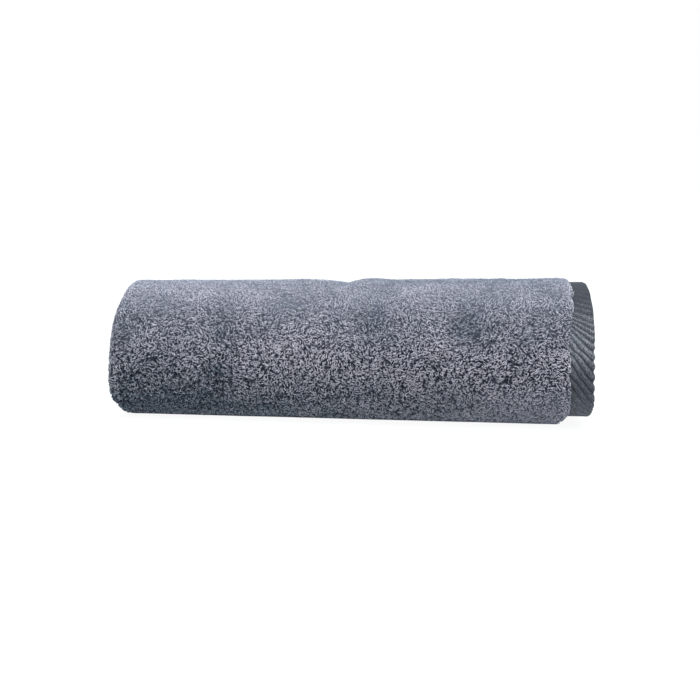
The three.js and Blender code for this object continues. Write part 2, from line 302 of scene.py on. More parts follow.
def windCloth(dressed, press):
    # places every point of the outline in the roll, in millimetres. Undressed it is the outer form of the
    # solid. Dressed, the woven ground lies lower, under the loops, and the small reliefs are added.
    zone, share, layer, side = (stations[key] for key in ("zone", "share", "layer", "side"))
    inset = cloth["bedInset"] if dressed else 0
    quarter = roll["towelLength"] / 4  # from the roll's middle to its end
    onBorder = zone == borderZone
    edgeShare = np.where(zone <= edgeZone, 1, share)
    leanShare = share - 0.05 * smoothStep(share, 0.8, 1)
    lean = np.where(onBorder, np.interp(walked, grooves["walked"], grooves["lean"]) * leanShare, 0)
    shortfall = np.where(layer == 1, roll["hemStep"] * edgeShare * (1 - walked / roll["towelWidth"]), 0)
    turned = turnedAt(np.clip(walked + lean + shortfall, 0, roll["towelWidth"]))

    loft = blend(windings, "loft", turned)
    inPile = smoothStep(fromSideHem - roll["sideHem"], 0, cloth["hemRamp"])
    pileLoft = lerp(roll["sideHemLoft"], loft, inPile)
    rib = ribWave * blend(ribDepth, "depth", turned) * cloth["ribRise"]
    foldRadius = (loft + roll["layerGap"]) / 2
    drawIn = roll["foldDrawIn"] * (1 + np.sin(np.radians(turned)))
    drawIn = drawIn + roll["foldDrawInPerTurn"] * turned / 360 + blend(foldTuck, "tuck", turned) * dressed
    foldX = -quarter + foldRadius + loft / 2 + drawIn
    outerFace = (layer == 1) & (side == 1)
    bare = np.where(outerFace, blend(bareBorder, "bare", turned), roll["innerBorderShows"])
    setBack = np.where(layer == -1, roll["innerBorderSetBack"], 0)
    dent = blend(ribDepth, "dent", turned) * (1 - ribWave) / 2
    hemX = quarter - setBack - dent + blend(ribDepth, "out", turned) * (layer == 1) * dressed
    bulge = np.where(outerFace, blend(edgeBulge, "out", turned), 0) - cloth["edgeInset"]
    edgeX = quarter - setBack - bare + bulge * dressed
    topX = edgeX - cloth["edgeRound"]
    wall = np.radians(stations["wall"])

    x = np.where(onBorder, lerp(edgeX, hemX, share), lerp(foldX, topX, share))
    x = np.where(zone == edgeZone, edgeX - cloth["edgeRound"] * (1 - np.cos(wall)), x)
    ends = 1 - smoothStep(x - foldX, *cloth["foldEnd"]) * smoothStep(topX - x, *cloth["hemEnd"])
    # turns that lie on each other fill the space between them
    inward = np.where(layer == 1, turned - 360, turned)
    thick = blend(windings, "loft", inward) + blend(windings, "loft", inward + 360) + roll["layerGap"]
    space = reachAt(inward) - reachAt(inward + 360) - thick
    packed = -np.clip(space / 2 - cloth["turnGap"], *cloth["packedBy"])
    outerInset = np.where(outerFace & (turned < cloth["outerTo"]), inset, lerp(packed, inset, ends))
    gapFrom, gapTo = (topX - length for length in cloth["gapEnd"])
    gapInset = lerp(cloth["gapInset"], inset, smoothStep(x, gapFrom, gapTo))
    insetHere = np.where(side == 1, outerInset, gapInset)
    foldInset = np.where(side == 1, cloth["foldInset"], cloth["gapInset"])
    insetHere = np.where(zone == foldZone, foldInset, insetHere)
    insetHere = insetHere * lerp(0.6, 1, blend(reliefs, "relief", turned)) * inPile * press * dressed
    band = (roll["borderLoft"] / 2 + np.where(onBorder, rib / 2, 0)) * stations["thick"]
    rise = np.where(zone == edgeZone, np.sin(wall), np.where(onBorder, 0, 1))
    halfThick = lerp(band, pileLoft / 2 - insetHere, rise) * hemThick
    fromMiddle = foldRadius + side * halfThick
    bend = np.radians(stations["bend"])
    x = np.where(layer == 0, foldX + fromMiddle * np.cos(bend) * cloth["foldFullness"], x)
    offset = np.where(layer == 0, fromMiddle * np.sin(bend), layer * fromMiddle)
    offset = offset + np.where(outerFace & ~onBorder, rise * swellAt(x, turned), 0)
    lumps = ripples(x, turned) if dressed else 0
    offset = offset + np.where(outerFace & ~onBorder, rise * inPile * press * lumps, 0)
    y, z = onWinding(turned, offset)
    if dressed:
        lift = cloth["bandLift"] + cloth["bandLiftBelow"] * smoothStep(turned, 205, 235)
        liftShare = np.where(onBorder, 1, np.where(zone == edgeZone, np.cos(wall), 0))
        z = z + lift * liftShare * (turned < cloth["liftTo"])
    return x + np.zeros_like(y), y, z, turned, topX, foldX


# the undressed winding says where the roll lies, and how it is set in the part's own box
x, y, z, *_ = windCloth(False, 1)
lowest = z.min() + roll["flatPress"]
size = 1 + roll["taper"] * x / (roll["towelLength"] / 2)
envelopeZ = (z - lowest) * size
envelopeY = y * size
shiftX = towelHigh[0] / mm - roll["towelLength"] / 4
shiftY = (towelLow[1] + towelHigh[1]) / 2 / mm - (envelopeY.min() + envelopeY.max()) / 2
press = smoothStep(envelopeZ, 0.2, 5)  # the pile is crushed where the roll lies on it
x, y, z, turned, topX, foldX = windCloth(True, press)
size = 1 + roll["taper"] * x / (roll["towelLength"] / 2)
points = np.stack([x + shiftX, y * size + shiftY, np.maximum(0, (z - lowest) * size)], axis=2) * mm

# the bake's map: the faces in rows across it, and the two side hems' edges in narrow strips beside them
mapWidth, startStrip, endStrip, stripWidth = 0.97, 0.975, 0.988, 0.01
pileSlot, borderSlot, hemSlot = range(3)
middleSpot = 60  # a station, and a row, about the middle of the outer face
quads, quadMaterials, quadMaps = [], [], []
mapEdge = np.linspace(0, mapWidth, rows)
girthSteps = np.linalg.norm(np.diff(points[middleSpot], axis=0), axis=1)
girthSteps = np.concatenate([[0], np.cumsum(girthSteps), [0]])
girthSteps[-1] = girthSteps[-2] + 2 * mm
mapAcross = girthSteps / girthSteps[-1]
zones = stations["zone"][0]
for row in range(rows - 1):
    middle = (rowPlaces[row] + rowPlaces[row + 1]) / 2
    onSideHem = min(middle, roll["towelWidth"] - middle) < 8.3
    for spot in range(around):
        following = (spot + 1) % around
        a, b = row * around + spot, row * around + following
        quads.append((a, b, b + around, a + around))
        onBorder = zones[spot] == borderZone and zones[following] == borderZone
        quadMaterials.append(borderSlot if onBorder else hemSlot if onSideHem else pileSlot)
        low, high = mapAcross[spot], mapAcross[spot + 1]
        quadMaps.extend([(mapEdge[row], low), (mapEdge[row], high),
                         (mapEdge[row + 1], high), (mapEdge[row + 1], low)])


def closeHem():
    # closes a side hem's edge with a strip of triangles between the two faces of the doubled cloth
    triangles, near, far = [], 0, 0
    outerTravel = [station["travel"] for station in outsideFace] + [math.inf]
    innerTravel = [station["travel"] for station in insideFace] + [math.inf]
    while near < len(outsideFace) - 1 or far < len(insideFace) - 1:
        opposite = around - 1 - far  # the inside face is stored from its far end
        if outerTravel[near + 1] <= innerTravel[far + 1]:
            triangles.append((near, opposite, near + 1))
            near += 1
        else:
            triangles.append((near, opposite, opposite - 1))
            far += 1
    return triangles


lastRow = (rows - 1) * around
for triangle in closeHem():
    for start, order, strip in ((0, 1, startStrip), (lastRow, -1, endStrip)):
        quads.append(tuple(start + spot for spot in triangle[::order]))
        quadMaterials.append(hemSlot)
        for spot in triangle[::order]:
            isInside = spot >= len(outsideFace)
            quadMaps.append((strip + stripWidth * isInside, stations["travel"][0][spot]))

# The shades that the cloth's points carry, much of them painted light and shade
shading = {"middle": 0.5, "patches": 0.5, "clouds": 0.35, "pileEdge": 0.25, "slopeOver": 180}
paintedBandShades = table(  # the border's painted shade round the roll: darker over the top, and low down where the pile hangs over it
    "turned tone",
    (-60, 0.75), (60, 0.6), (92, 0.2), (104, 0.1), (114, 0.14), (124, 0.2), (136, 0.48), (148, 1.0),
    (158, 1.1), (165, 1.1), (174, 0.66), (184, 0.46), (196, 0.52), (212, 0.75), (240, 0.8), (300, 1.0),
    (360, 1.5), (900, 1.5))
paintedRoundShades = table(  # the loops' painted light and shade round the roll, with its painted slope from the roll's left to its right
    "turned tone slope",
    (-60, -0.1, 0.1), (10, -0.1, 0.1), (50, -0.3, 0.0), (90, -0.42, -0.05), (122, 0.14, -0.15),
    (150, 0.06, 0.0), (168, 0.42, 0.0), (180, 0.12, 0.2), (192, 0.06, 0.3), (205, -0.08, 0.5),
    (230, -0.4, 0.5), (300, -0.3, 0.2), (330, 0.0, 0.0), (900, 0.0, 0.0))
# patches of painted light and shade on the pile, lighter and darker
paintedLightPatches = [  # along, turned, tone, length, girth
    (-167, 151, -0.5, 10, 20), (-42, 137, -0.7, 16, 12), (-91, 158, -0.8, 8, 18), (-95, 178, -0.7, 9, 16),
    (-121, 198, -0.6, 14, 12), (-16, 197, -0.5, 16, 12), (20, 151, -0.7, 9, 16), (20, 182, -0.6, 9, 16),
    (87, 151, -0.7, 10, 14), (130, 248, -0.5, 14, 12), (-70, 122, 0.5, 16, 10), (-114, 146, 0.6, 14, 12),
    (-26, 162, 0.7, 16, 14), (47, 126, 0.2, 16, 10), (62, 159, 0.6, 12, 14), (116, 138, 0.5, 14, 12),
    (-30, 168, 1.5, 46, 18), (20, 180, 0.8, 40, 12), (108, 180, 0.9, 46, 14), (-150, 222, -0.9, 60, 14),
    (46, 92, -0.4, 20, 14), (130, 92, -0.4, 12, 14),
    (-60, 190, 0.3, 14, 14), (100, 185, 0.3, 14, 14), (140, 165, 0.3, 12, 18),
]


def paintedPatchesAt(along, angle):
    tone = 0
    for place, turn, strength, length, girth in paintedLightPatches:
        tone = tone + strength * np.exp(-((along - place) / length) ** 2 - ((angle - turn) / girth) ** 2)
    return tone


def cloudAt(along, angle):
    # broad, unplanned differences of shade, some 20 to 26 mm across, with smaller ones within them
    values = [noise.noise(Vector((a / 26, t * 0.93 / 20, 3.7)))
              + 0.6 * noise.noise(Vector((a / 11, t * 0.93 / 9, 8.1)))
              for a, t in zip(along.ravel(), angle.ravel())]
    return np.array(values).reshape(along.shape)


def storeValues(mesh, name, values):
    # keeps one number, or one vector, for each point of a mesh
    isVector = values.size == 3 * len(mesh.vertices)
    attribute = mesh.attributes.new(name, "FLOAT_VECTOR" if isVector else "FLOAT", "POINT")
    attribute.data.foreach_set("vector" if isVector else "value", np.asarray(values, float).ravel())


def storeMap(mesh, places):
    layer = mesh.uv_layers.new(name="OFBake")
    layer.data.foreach_set("uv", np.asarray(places, float).ravel())


# the tone: painted light and shade in patches, round the roll and in a slope from left to right, with
# unplanned clouds of tone and lighter along the pile's edge
tone = shading["middle"] + shading["patches"] * paintedPatchesAt(x, turned) + shading["clouds"] * cloudAt(x, turned)
tone = tone + shading["pileEdge"] * np.where(stations["layer"] == 1, smoothStep(x, topX - 4, topX), 0)
tone = tone + blend(paintedRoundShades, "tone", turned)
tone = tone + blend(paintedRoundShades, "slope", turned) * x / shading["slopeOver"]
smoothed = 0.3 * smoothStep(x, 40, 170) * smoothStep(turned, 175, 205)  # low down on the right
relief = blend(reliefs, "relief", turned) * (1 - smoothed)
bandTurned = np.where(turned > cloth["liftTo"], 360, turned)  # the hidden turns share one painted shade
flatPlace = np.stack([x, walked + np.zeros_like(x), stations["layer"] + np.zeros_like(x)], axis=2) * mm
clothMesh = bpy.data.meshes.new("towelCloth")
clothMesh.from_pydata(points.reshape(-1, 3).tolist(), [], quads)
clothMesh.polygons.foreach_set("material_index", quadMaterials)
clothMesh.polygons.foreach_set("use_smooth", [True] * len(quads))
storeMap(clothMesh, quadMaps)
for name, values in (("flatPlace", flatPlace), ("rib", ribWave * blend(ribDepth, "depth", turned)),
                     ("ribPhase", ribPhase + np.zeros_like(x)), ("tone", tone), ("relief", relief),
                     ("bandTone", blend(paintedBandShades, "tone", bandTurned))):
    storeValues(clothMesh, name, values)
towelCloth = addObject("towelCloth", clothMesh)
print("cloth:", len(clothMesh.vertices), "points,", sum(len(quad) - 2 for quad in quads), "triangles")

colours = {name: linear(code) for name, code in {
    "loopLight": "#bbbbc8", "loopDark": "#66727f", "loopFootPaintedShade": "#1f262f", "groundLight": "#4c5362",
    "groundPaintedShade": "#131820", "groundPaintedLight": "#7a7f90", "band": "#80858f", "borderPaintedShade": "#1d2127",
    "hemLight": "#777c8b", "hemDark": "#4b505e", "thread": "#8d919f", "fluff": "#aab2c8"}.items()}
cottonIor = 1.45


def newMaterial(name, roughness, sheen, gloss):
    material = bpy.data.materials.new(name)
    material.use_nodes = True
    material.node_tree.nodes.clear()
    tree = material.node_tree
    shader = addNode(tree, "ShaderNodeBsdfPrincipled", {
        "Roughness": roughness, "IOR": cottonIor, "Specular IOR Level": gloss,
        "Sheen Weight": sheen, "Sheen Roughness": 0.5, "Sheen Tint": colours["fluff"]})
    addNode(tree, "ShaderNodeOutputMaterial", None, {"Surface": shader.outputs["BSDF"]})
    return material, tree, shader


def finish(tree, shader, colour, height, strength, depth):
    # gives the shader its colour and a fine bump, whose depth is in mm
    tree.links.new(colour.outputs[2], shader.inputs["Base Color"])
    bump = addNode(tree, "ShaderNodeBump", {"Strength": strength, "Distance": depth * mm},
                   {"Height": height})
    tree.links.new(bump.outputs["Normal"], shader.inputs["Normal"])


def loopedCotton():
    # ring-spun cotton yarn, piece-dyed and left soft: matt, with a faint bloom of loose fibre and
    # small differences of shade from loop to loop. The fibre is drawn 0.5 mm apart, coarser than it is.
    material, tree, shader = newMaterial("ringSpunCottonLoops", 0.92, 0.08, 0.2)
    add = partial(addNode, tree)
    shade, patch, tip, relief = (
        add("ShaderNodeAttribute", {"attribute_name": name}).outputs["Fac"]
        for name in ("shade", "tone", "tip", "relief"))
    place = add("ShaderNodeTexCoord").outputs["Object"]
    fibre = add("ShaderNodeTexNoise", {"Scale": 1800.0, "Detail": 2.0}, {"Vector": place})
    cloudy = add("ShaderNodeTexNoise", {"Scale": 90.0, "Detail": 2.0}, {"Vector": place})
    # the tone brings painted light and shade onto the loops' crowns
    patchPart = add("ShaderNodeMath", {"operation": "MULTIPLY_ADD", 1: 0.6, 2: 0.05}, {0: patch})
    strength = add("ShaderNodeMapRange",
                   {"From Min": 0.3, "From Max": 1.0, "To Min": 0.15, "To Max": 0.8}, {"Value": relief})
    centred = add("ShaderNodeMath", {"operation": "SUBTRACT", 1: 0.5}, {0: shade})
    shadePart = add("ShaderNodeMath", {"operation": "MULTIPLY_ADD"},
                    {0: centred, 1: strength, 2: patchPart})
    cloudPart = add("ShaderNodeMath", {"operation": "MULTIPLY_ADD", 1: 0.3}, {0: cloudy, 2: shadePart})
    crown = add("ShaderNodeMix", {"data_type": "RGBA", 6: colours["loopDark"],
                                  7: colours["loopLight"]}, {0: cloudPart})
    # painted shade: the loops' feet are darker where the pile is open, hardly at all where it lies close
    shaded = add("ShaderNodeMapRange", {"To Min": 1.0}, {"Value": relief, "To Max": tip})
    colour = add("ShaderNodeMix", {"data_type": "RGBA", 6: colours["loopFootPaintedShade"]},
                 {0: shaded, 7: crown.outputs[2]})
    finish(tree, shader, colour, fibre, 0.35, 0.2)
    return material


def terryGround():
    # the woven ground between the loops: the same yarn, painted darker as shade in the crevices, and
    # painted lighter over the top where the pile lies close
    material, tree, shader = newMaterial("wovenTerryGround", 0.95, 0.0, 0.1)
    add = partial(addNode, tree)
    place = add("ShaderNodeTexCoord").outputs["Object"]
    cells = add("ShaderNodeTexVoronoi", {"Scale": 700.0}, {"Vector": place})
    spread = add("ShaderNodeMapRange",
                 {"From Min": 0.1, "From Max": 0.7, "To Min": 1.0, "To Max": 0.0}, {"Value": cells})
    relief = add("ShaderNodeAttribute", {"attribute_name": "relief"}).outputs["Fac"]
    # painted shade in the crevices between the cells of lower loops
    middle = add("ShaderNodeMix", {"data_type": "RGBA", 6: colours["groundPaintedShade"],
                                   7: colours["groundLight"]}, {0: spread})
    # painted light: the ground is lighter where the pile lies close, as over the top
    colour = add("ShaderNodeMix", {"data_type": "RGBA", 6: colours["groundPaintedLight"]},
                 {0: relief, 7: middle.outputs[2]})
    finish(tree, shader, colour, spread, 0.8, 0.6)
    return material


def flatWeave(name, light, dark, ribbed):
    # plain-woven cotton: threads about 0.5 mm apart, drawn 0.9 mm apart so that the render shows them
    threadPitch, pickPitch, wavesToScale = 0.9, 1.3, 0.314
    material, tree, shader = newMaterial(name, 0.9, 0.03, 0.12)
    add = partial(addNode, tree)
    flat = add("ShaderNodeAttribute", {"attribute_name": "flatPlace"}).outputs["Vector"]
    threads = add("ShaderNodeTexWave", {
        "wave_type": "BANDS", "bands_direction": "Y", "Scale": wavesToScale / threadPitch / mm,
        "Distortion": 1.5, "Detail": 2.0, "Detail Scale": 1.2}, {"Vector": flat})
    across = add("ShaderNodeTexWave", {
        "wave_type": "BANDS", "bands_direction": "X", "Scale": wavesToScale / pickPitch / mm,
        "Distortion": 2.0, "Detail": 2.0, "Detail Scale": 1.0}, {"Vector": flat})
    weave = add("ShaderNodeMath", {"operation": "MULTIPLY"},
                {0: threads.outputs["Fac"], 1: across.outputs["Fac"]})
    slub = add("ShaderNodeTexNoise", {"Scale": 1500.0, "Detail": 0.0}, {"Vector": flat})
    speckle = add("ShaderNodeMapRange",
                  {"From Min": 0.35, "From Max": 0.65, "To Min": 0.2, "To Max": 0.8}, {"Value": slub})
    flecks = speckle
    if ribbed:  # three fine cords run along each rib
        phase = add("ShaderNodeAttribute", {"attribute_name": "ribPhase"})
        cordAngle = add("ShaderNodeMath", {"operation": "MULTIPLY", 1: 3 * 2 * math.pi},
                        {0: phase.outputs["Fac"]})
        cord = add("ShaderNodeMath", {"operation": "COSINE"}, {0: cordAngle})
        flecks = add("ShaderNodeMath", {"operation": "MULTIPLY_ADD", 1: -0.14}, {0: cord, 2: speckle})
    grain = add("ShaderNodeMath", {"operation": "MULTIPLY_ADD", 1: 0.3}, {0: weave, 2: flecks})
    lit = grain
    if ribbed:  # painted shade: the grooves are painted dark, and the border has its painted shade round the roll
        height = add("ShaderNodeAttribute", {"attribute_name": "rib"})
        # painted shade in the grooves, set by the rib's height
        raised = add("ShaderNodeMapRange", {"From Min": -0.85, "From Max": 0.5},
                     {"Value": height.outputs["Fac"]})
        bandTone = add("ShaderNodeAttribute", {"attribute_name": "bandTone"})
        ridge = add("ShaderNodeMath", {"operation": "MULTIPLY"},
                    {0: raised, 1: bandTone.outputs["Fac"]})
        lit = add("ShaderNodeMath", {"operation": "MULTIPLY"}, {0: grain, 1: ridge})
    colour = add("ShaderNodeMix", {"data_type": "RGBA", 6: dark, 7: light}, {0: lit})
    finish(tree, shader, colour, grain, 0.5, 0.2)
    return material


loopMaterial = loopedCotton()
borderMaterial = flatWeave("flatWovenRibbedBorder", colours["band"], colours["borderPaintedShade"], True)
hemMaterial = flatWeave("turnedSideHem", colours["hemLight"], colours["hemDark"], False)
for material in (terryGround(), borderMaterial, hemMaterial):
    clothMesh.materials.append(material)
print("materials done")

# The terry loops, in millimetres
pile = {
    "yarn": 0.37, "width": 1.5, "height": 1.0, "tilt": 0.4, "seed": 7, "sides": 3, "segments": 3,
    "tuft": 4.2, "tuftLean": 0.9,  # loops stand together in tufts and lean to their middle
    "swirl": 0.6,  # how freely a loop turns from its neighbours' direction, in radians
    "wander": 6, "packing": 2e6,
    "shownTo": 332,  # the angle turned up to which the outer face is seen
    "clearOfFloor": 0.1,
}
loopShapes = [  # a loop's two feet with its two handles between them: upright, twisted and laid over
    ((-0.5, 0, -0.4), (-0.75, 0.1, 1.5), (0.75, -0.1, 1.5), (0.5, 0, -0.4)),
    ((-0.4, -0.2, -0.4), (-0.9, 0.5, 1.35), (0.8, 0.5, 1.65), (0.5, -0.1, -0.4)),
    ((-0.4, 0, -0.4), (-0.6, -0.8, 1.45), (0.9, -0.5, 1.35), (0.4, 0.3, -0.4))]
loopParts = [  # from and to which angle turned, and how far apart the loops stand
    ("loopsLowerBack", -40, 22, 1.5), ("loopsUpperBack", 22, 78, 1.5), ("loopsTop", 78, 120, 0.95),
    ("loopsUpperFront", 120, 162, 0.98), ("loopsFront", 162, 208, 1.0), ("loopsLowerFront", 208, 286, 1.02),
    ("loopsUnder", 286, 332, 2.0)]


def newTree(name, shapeIn, sizes, shapeOut):
    # a Geometry Nodes tree with its named inputs; sizes with a point are floats, whole ones are seeds
    tree = bpy.data.node_groups.new(name, "GeometryNodeTree")
    tree.interface.new_socket(shapeIn, in_out="INPUT", socket_type="NodeSocketGeometry")
    for size, value in sizes.items():
        kind = "NodeSocketInt" if isinstance(value, int) else "NodeSocketFloat"
        tree.interface.new_socket(size, in_out="INPUT", socket_type=kind).default_value = value
    tree.interface.new_socket("Yarn", in_out="INPUT", socket_type="NodeSocketMaterial")
    tree.interface.new_socket(shapeOut, in_out="OUTPUT", socket_type="NodeSocketGeometry")
    return tree, addNode(tree, "NodeGroupInput")


def buildLoopTree():
    tree, given = newTree("terryLoops", "Bed", {
        "Spacing": 1.5 * mm, "Yarn Radius": pile["yarn"] * mm, "Loop Width": pile["width"] * mm,
        "Loop Height": pile["height"] * mm, "Tilt": pile["tilt"], "Seed": pile["seed"]}, "Loops")
    add = partial(addNode, tree)

    coverage, relief, swirl, stature, nap, facing = (
        add("GeometryNodeInputNamedAttribute", {"data_type": kind, "Name": name})
        for name, kind in (("coverage", "FLOAT"), ("relief", "FLOAT"), ("swirl", "FLOAT"),
                           ("stature", "FLOAT"), ("nap", "FLOAT_VECTOR"), ("facing", "FLOAT_VECTOR")))
    spots = add("GeometryNodeDistributePointsOnFaces",
                {"distribute_method": "POISSON", "Density Max": pile["packing"]},
                {"Mesh": given.outputs["Bed"], "Distance Min": given.outputs["Spacing"],
                 "Density Factor": coverage, "Seed": given.outputs["Seed"]})

    # the loops stand in tufts and lean towards their middle, which opens crevices between the tufts
    place = add("GeometryNodeInputPosition")
    wander = add("ShaderNodeTexNoise", {"Scale": 150.0, "Detail": 1.0}, {"Vector": place})
    wanderBy = add("ShaderNodeVectorMath", {"operation": "MULTIPLY_ADD", 1: [pile["wander"] * mm] * 3},
                   {0: wander.outputs["Color"], 2: place})
    tufts = add("ShaderNodeTexVoronoi", {"Scale": 1 / (pile["tuft"] * mm)}, {"Vector": wanderBy})
    inward = add("ShaderNodeVectorMath", {"operation": "SUBTRACT"},
                 {0: tufts.outputs["Position"], 1: wanderBy})
    tuftPull = add("ShaderNodeMath",
                   {"operation": "MULTIPLY", 1: 2 * pile["tuftLean"] / (pile["tuft"] * mm)},
                   {0: relief})
    inwardBy = add("ShaderNodeVectorMath", {"operation": "SCALE"}, {0: inward, "Scale": tuftPull})

    circle = add("GeometryNodeCurvePrimitiveCircle",
                 {"mode": "RADIUS", "Resolution": pile["sides"]},
                 {"Radius": given.outputs["Yarn Radius"]})
    variants = add("GeometryNodeGeometryToInstance")
    height = add("ShaderNodeSeparateXYZ", None, {0: place})
    width, tall = given.outputs["Loop Width"], given.outputs["Loop Height"]
    tip = add("ShaderNodeMapRange", None, {"Value": height.outputs["Z"], "From Max": tall})
    span = add("ShaderNodeCombineXYZ", None, {"X": width, "Y": width, "Z": tall})
    handles = ("Start", "Start Handle", "End Handle", "End")
    for shape in loopShapes:
        ends = [add("ShaderNodeVectorMath", {"operation": "MULTIPLY", 1: corner}, {0: span})
                for corner in shape]
        arch = add("GeometryNodeCurvePrimitiveBezierSegment",
                   {"mode": "POSITION", "Resolution": pile["segments"]}, dict(zip(handles, ends)))
        tube = add("GeometryNodeCurveToMesh", {"Fill Caps": True},
                   {"Curve": arch, "Profile Curve": circle})
        marked = add("GeometryNodeStoreNamedAttribute", {"Name": "tip"},
                     {"Geometry": tube, "Value": tip})
        tree.links.new(marked.outputs[0], variants.inputs[0])

    # each loop stands off the ground, leans with the nap and turns with its neighbours, or nearly
    stray = add("FunctionNodeRandomValue", {"data_type": "FLOAT_VECTOR", 0: (-1, -1, -1), 1: (1, 1, 1)})
    strayBy = add("ShaderNodeVectorMath", {"operation": "SCALE"},
                  {0: stray, "Scale": given.outputs["Tilt"]})
    strayed = add("ShaderNodeVectorMath", {"operation": "ADD"}, {0: strayBy, 1: nap})
    leaning = add("ShaderNodeVectorMath", {"operation": "ADD"}, {0: strayed, 1: inwardBy})
    upward = add("ShaderNodeVectorMath", {"operation": "ADD"}, {0: facing, 1: leaning})
    stand = add("FunctionNodeAlignRotationToVector", {"axis": "Z"}, {"Vector": upward})
    spin = add("FunctionNodeRandomValue",
               {"data_type": "FLOAT", 2: -pile["swirl"], 3: pile["swirl"], "Seed": 3})
    heading = add("ShaderNodeMath", {"operation": "ADD"}, {0: spin.outputs[1], 1: swirl})
    spinVector = add("ShaderNodeCombineXYZ", None, {"Z": heading})
    spinTurn = add("FunctionNodeEulerToRotation", None, {0: spinVector})
    turnedBy = add("FunctionNodeRotateRotation", {"rotation_space": "LOCAL"},
                   {"Rotation": stand, "Rotate By": spinTurn})
    grow = add("FunctionNodeRandomValue",
               {"data_type": "FLOAT_VECTOR", 0: (0.8, 0.85, 0.75), 1: (1.3, 1.2, 1.2), "Seed": 5})
    scale = add("ShaderNodeVectorMath", {"operation": "SCALE"}, {0: grow, "Scale": stature})
    pick = add("FunctionNodeRandomValue", {"data_type": "INT", 4: 0, 5: len(loopShapes) - 1, "Seed": 8})
    placed = add("GeometryNodeInstanceOnPoints", {"Pick Instance": True},
                 {"Points": spots.outputs["Points"], "Instance": variants,
                  "Instance Index": pick.outputs[2], "Rotation": turnedBy,
                  "Scale": scale})
    shade = add("FunctionNodeRandomValue", {"data_type": "FLOAT", 2: 0.0, 3: 1.0, "Seed": 11})
    shaded = add("GeometryNodeStoreNamedAttribute",
                 {"data_type": "FLOAT", "domain": "INSTANCE", "Name": "shade"},
                 {"Geometry": placed, "Value": shade.outputs[1]})
    solid = add("GeometryNodeRealizeInstances", None, {0: shaded})
    smooth = add("GeometryNodeSetShadeSmooth", {"Shade Smooth": True}, {0: solid})
    dyed = add("GeometryNodeSetMaterial", None, {0: smooth, "Material": given.outputs["Yarn"]})
    add("NodeGroupOutput", None, {0: dyed})
    return tree


def mapFaces(mesh):
    # every face gets a small square of its own in the bake's map
    count = len(mesh.polygons)
    grid = math.ceil(math.sqrt(count))
    starts, totals = np.empty(count, int), np.empty(count, int)
    mesh.polygons.foreach_get("loop_start", starts)
    mesh.polygons.foreach_get("loop_total", totals)
    places = np.zeros((len(mesh.loops), 2))
    corners = {3: [(0.1, 0.1), (0.9, 0.1), (0.5, 0.9)],
               4: [(0.1, 0.1), (0.9, 0.1), (0.9, 0.9), (0.1, 0.9)]}
    cells = np.stack([np.arange(count) % grid, np.arange(count) // grid], axis=1)
    for total, corner in corners.items():
        chosen = np.nonzero(totals == total)[0]
        for step, place in enumerate(corner):
            places[starts[chosen] + step] = (cells[chosen] + place) / grid
    storeMap(mesh, places)


def grow(name, carrier, tree, inputs):
    # runs a tree once on the mesh that carries its points, and keeps the result as a plain mesh
    helper = addObject(carrier.name, carrier)
    modifier = helper.modifiers.new("grown", "NODES")
    modifier.node_group = tree
    for socket in tree.interface.items_tree:
        if socket.name in inputs:
            modifier[socket.identifier] = inputs[socket.name]
    graph = bpy.context.evaluated_depsgraph_get()
    mesh = bpy.data.meshes.new_from_object(helper.evaluated_get(graph), preserve_all_data_layers=True,
                                           depsgraph=graph)
    mesh.name = name
    bpy.data.objects.remove(helper)
    bpy.data.meshes.remove(carrier)
    return mesh


def keepPiece(mesh):
    mapFaces(mesh)
    piece = addObject(mesh.name, mesh)
    mesh.calc_loop_triangles()
    print(mesh.name, len(mesh.loop_triangles), "triangles")
    return piece


def growLoops(name, faces, spacing, seed):
    # sews loops over some of the cloth's faces. Where they stand wider apart they are larger.
    used, compact = np.unique(np.array(faces), return_inverse=True)
    bed = bpy.data.meshes.new(name + "Bed")
    bed.from_pydata(points.reshape(-1, 3)[used].tolist(), [], compact.reshape(-1, 4).tolist())
    bed.polygons.foreach_set("use_smooth", [True] * len(bed.polygons))
    for key, values in bedValues.items():
        storeValues(bed, key, values.reshape(len(facing), -1)[used])
    mesh = grow(name, bed, loopTree, {
        "Seed": seed, "Spacing": spacing * mm, "Yarn": loopMaterial,
        "Yarn Radius": pile["yarn"] * (0.3 + 0.7 * spacing) * mm,
        "Loop Width": pile["width"] * (0.5 + 0.5 * spacing) * mm})
    for spare in ("coverage", "nap", "stature", "swirl", "facing"):
        if spare in mesh.attributes:
            mesh.attributes.remove(mesh.attributes[spare])
    places = np.empty(len(mesh.vertices) * 3)
    mesh.vertices.foreach_get("co", places)
    places[2::3] = np.maximum(places[2::3], pile["clearOfFloor"] * mm)
    mesh.vertices.foreach_set("co", places)
    return keepPiece(mesh)


loopTree = buildLoopTree()
isOuter, isEdge, isBorder = (flags + np.zeros_like(x, bool) for flags in (
    (stations["layer"] == 1) & (stations["side"] == 1), stations["zone"] == edgeZone,
    stations["zone"] == borderZone))
# loops grow where they are seen: on the outer face, and on every turn near the roll's two ends
shown = np.where(isOuter & (turned < pile["shownTo"]), 1.0, 0.0)
nearEnds = np.where(x < foldX + 3, 1.0, 0.0) + np.where(x > topX - 3, 1.0, 0.0)
coverage = np.clip(np.maximum(shown, nearEnds), 0, 1) * smoothStep(fromSideHem, 8.6, 9.4)
coverage = coverage * smoothStep(press, 0.15, 0.5)
# where the painted patches, the painted slope and the clouds are darker, the pile is also thinner
darkness = np.clip(0.5 - tone + blend(paintedRoundShades, "tone", turned), 0, 1)
coverage = coverage * (1 - relief * (0.1 + 0.3 * darkness))
stature = lerp(0.82, 1.08, relief) * lerp(0.6, 1, press)  # crushed where the roll lies on them
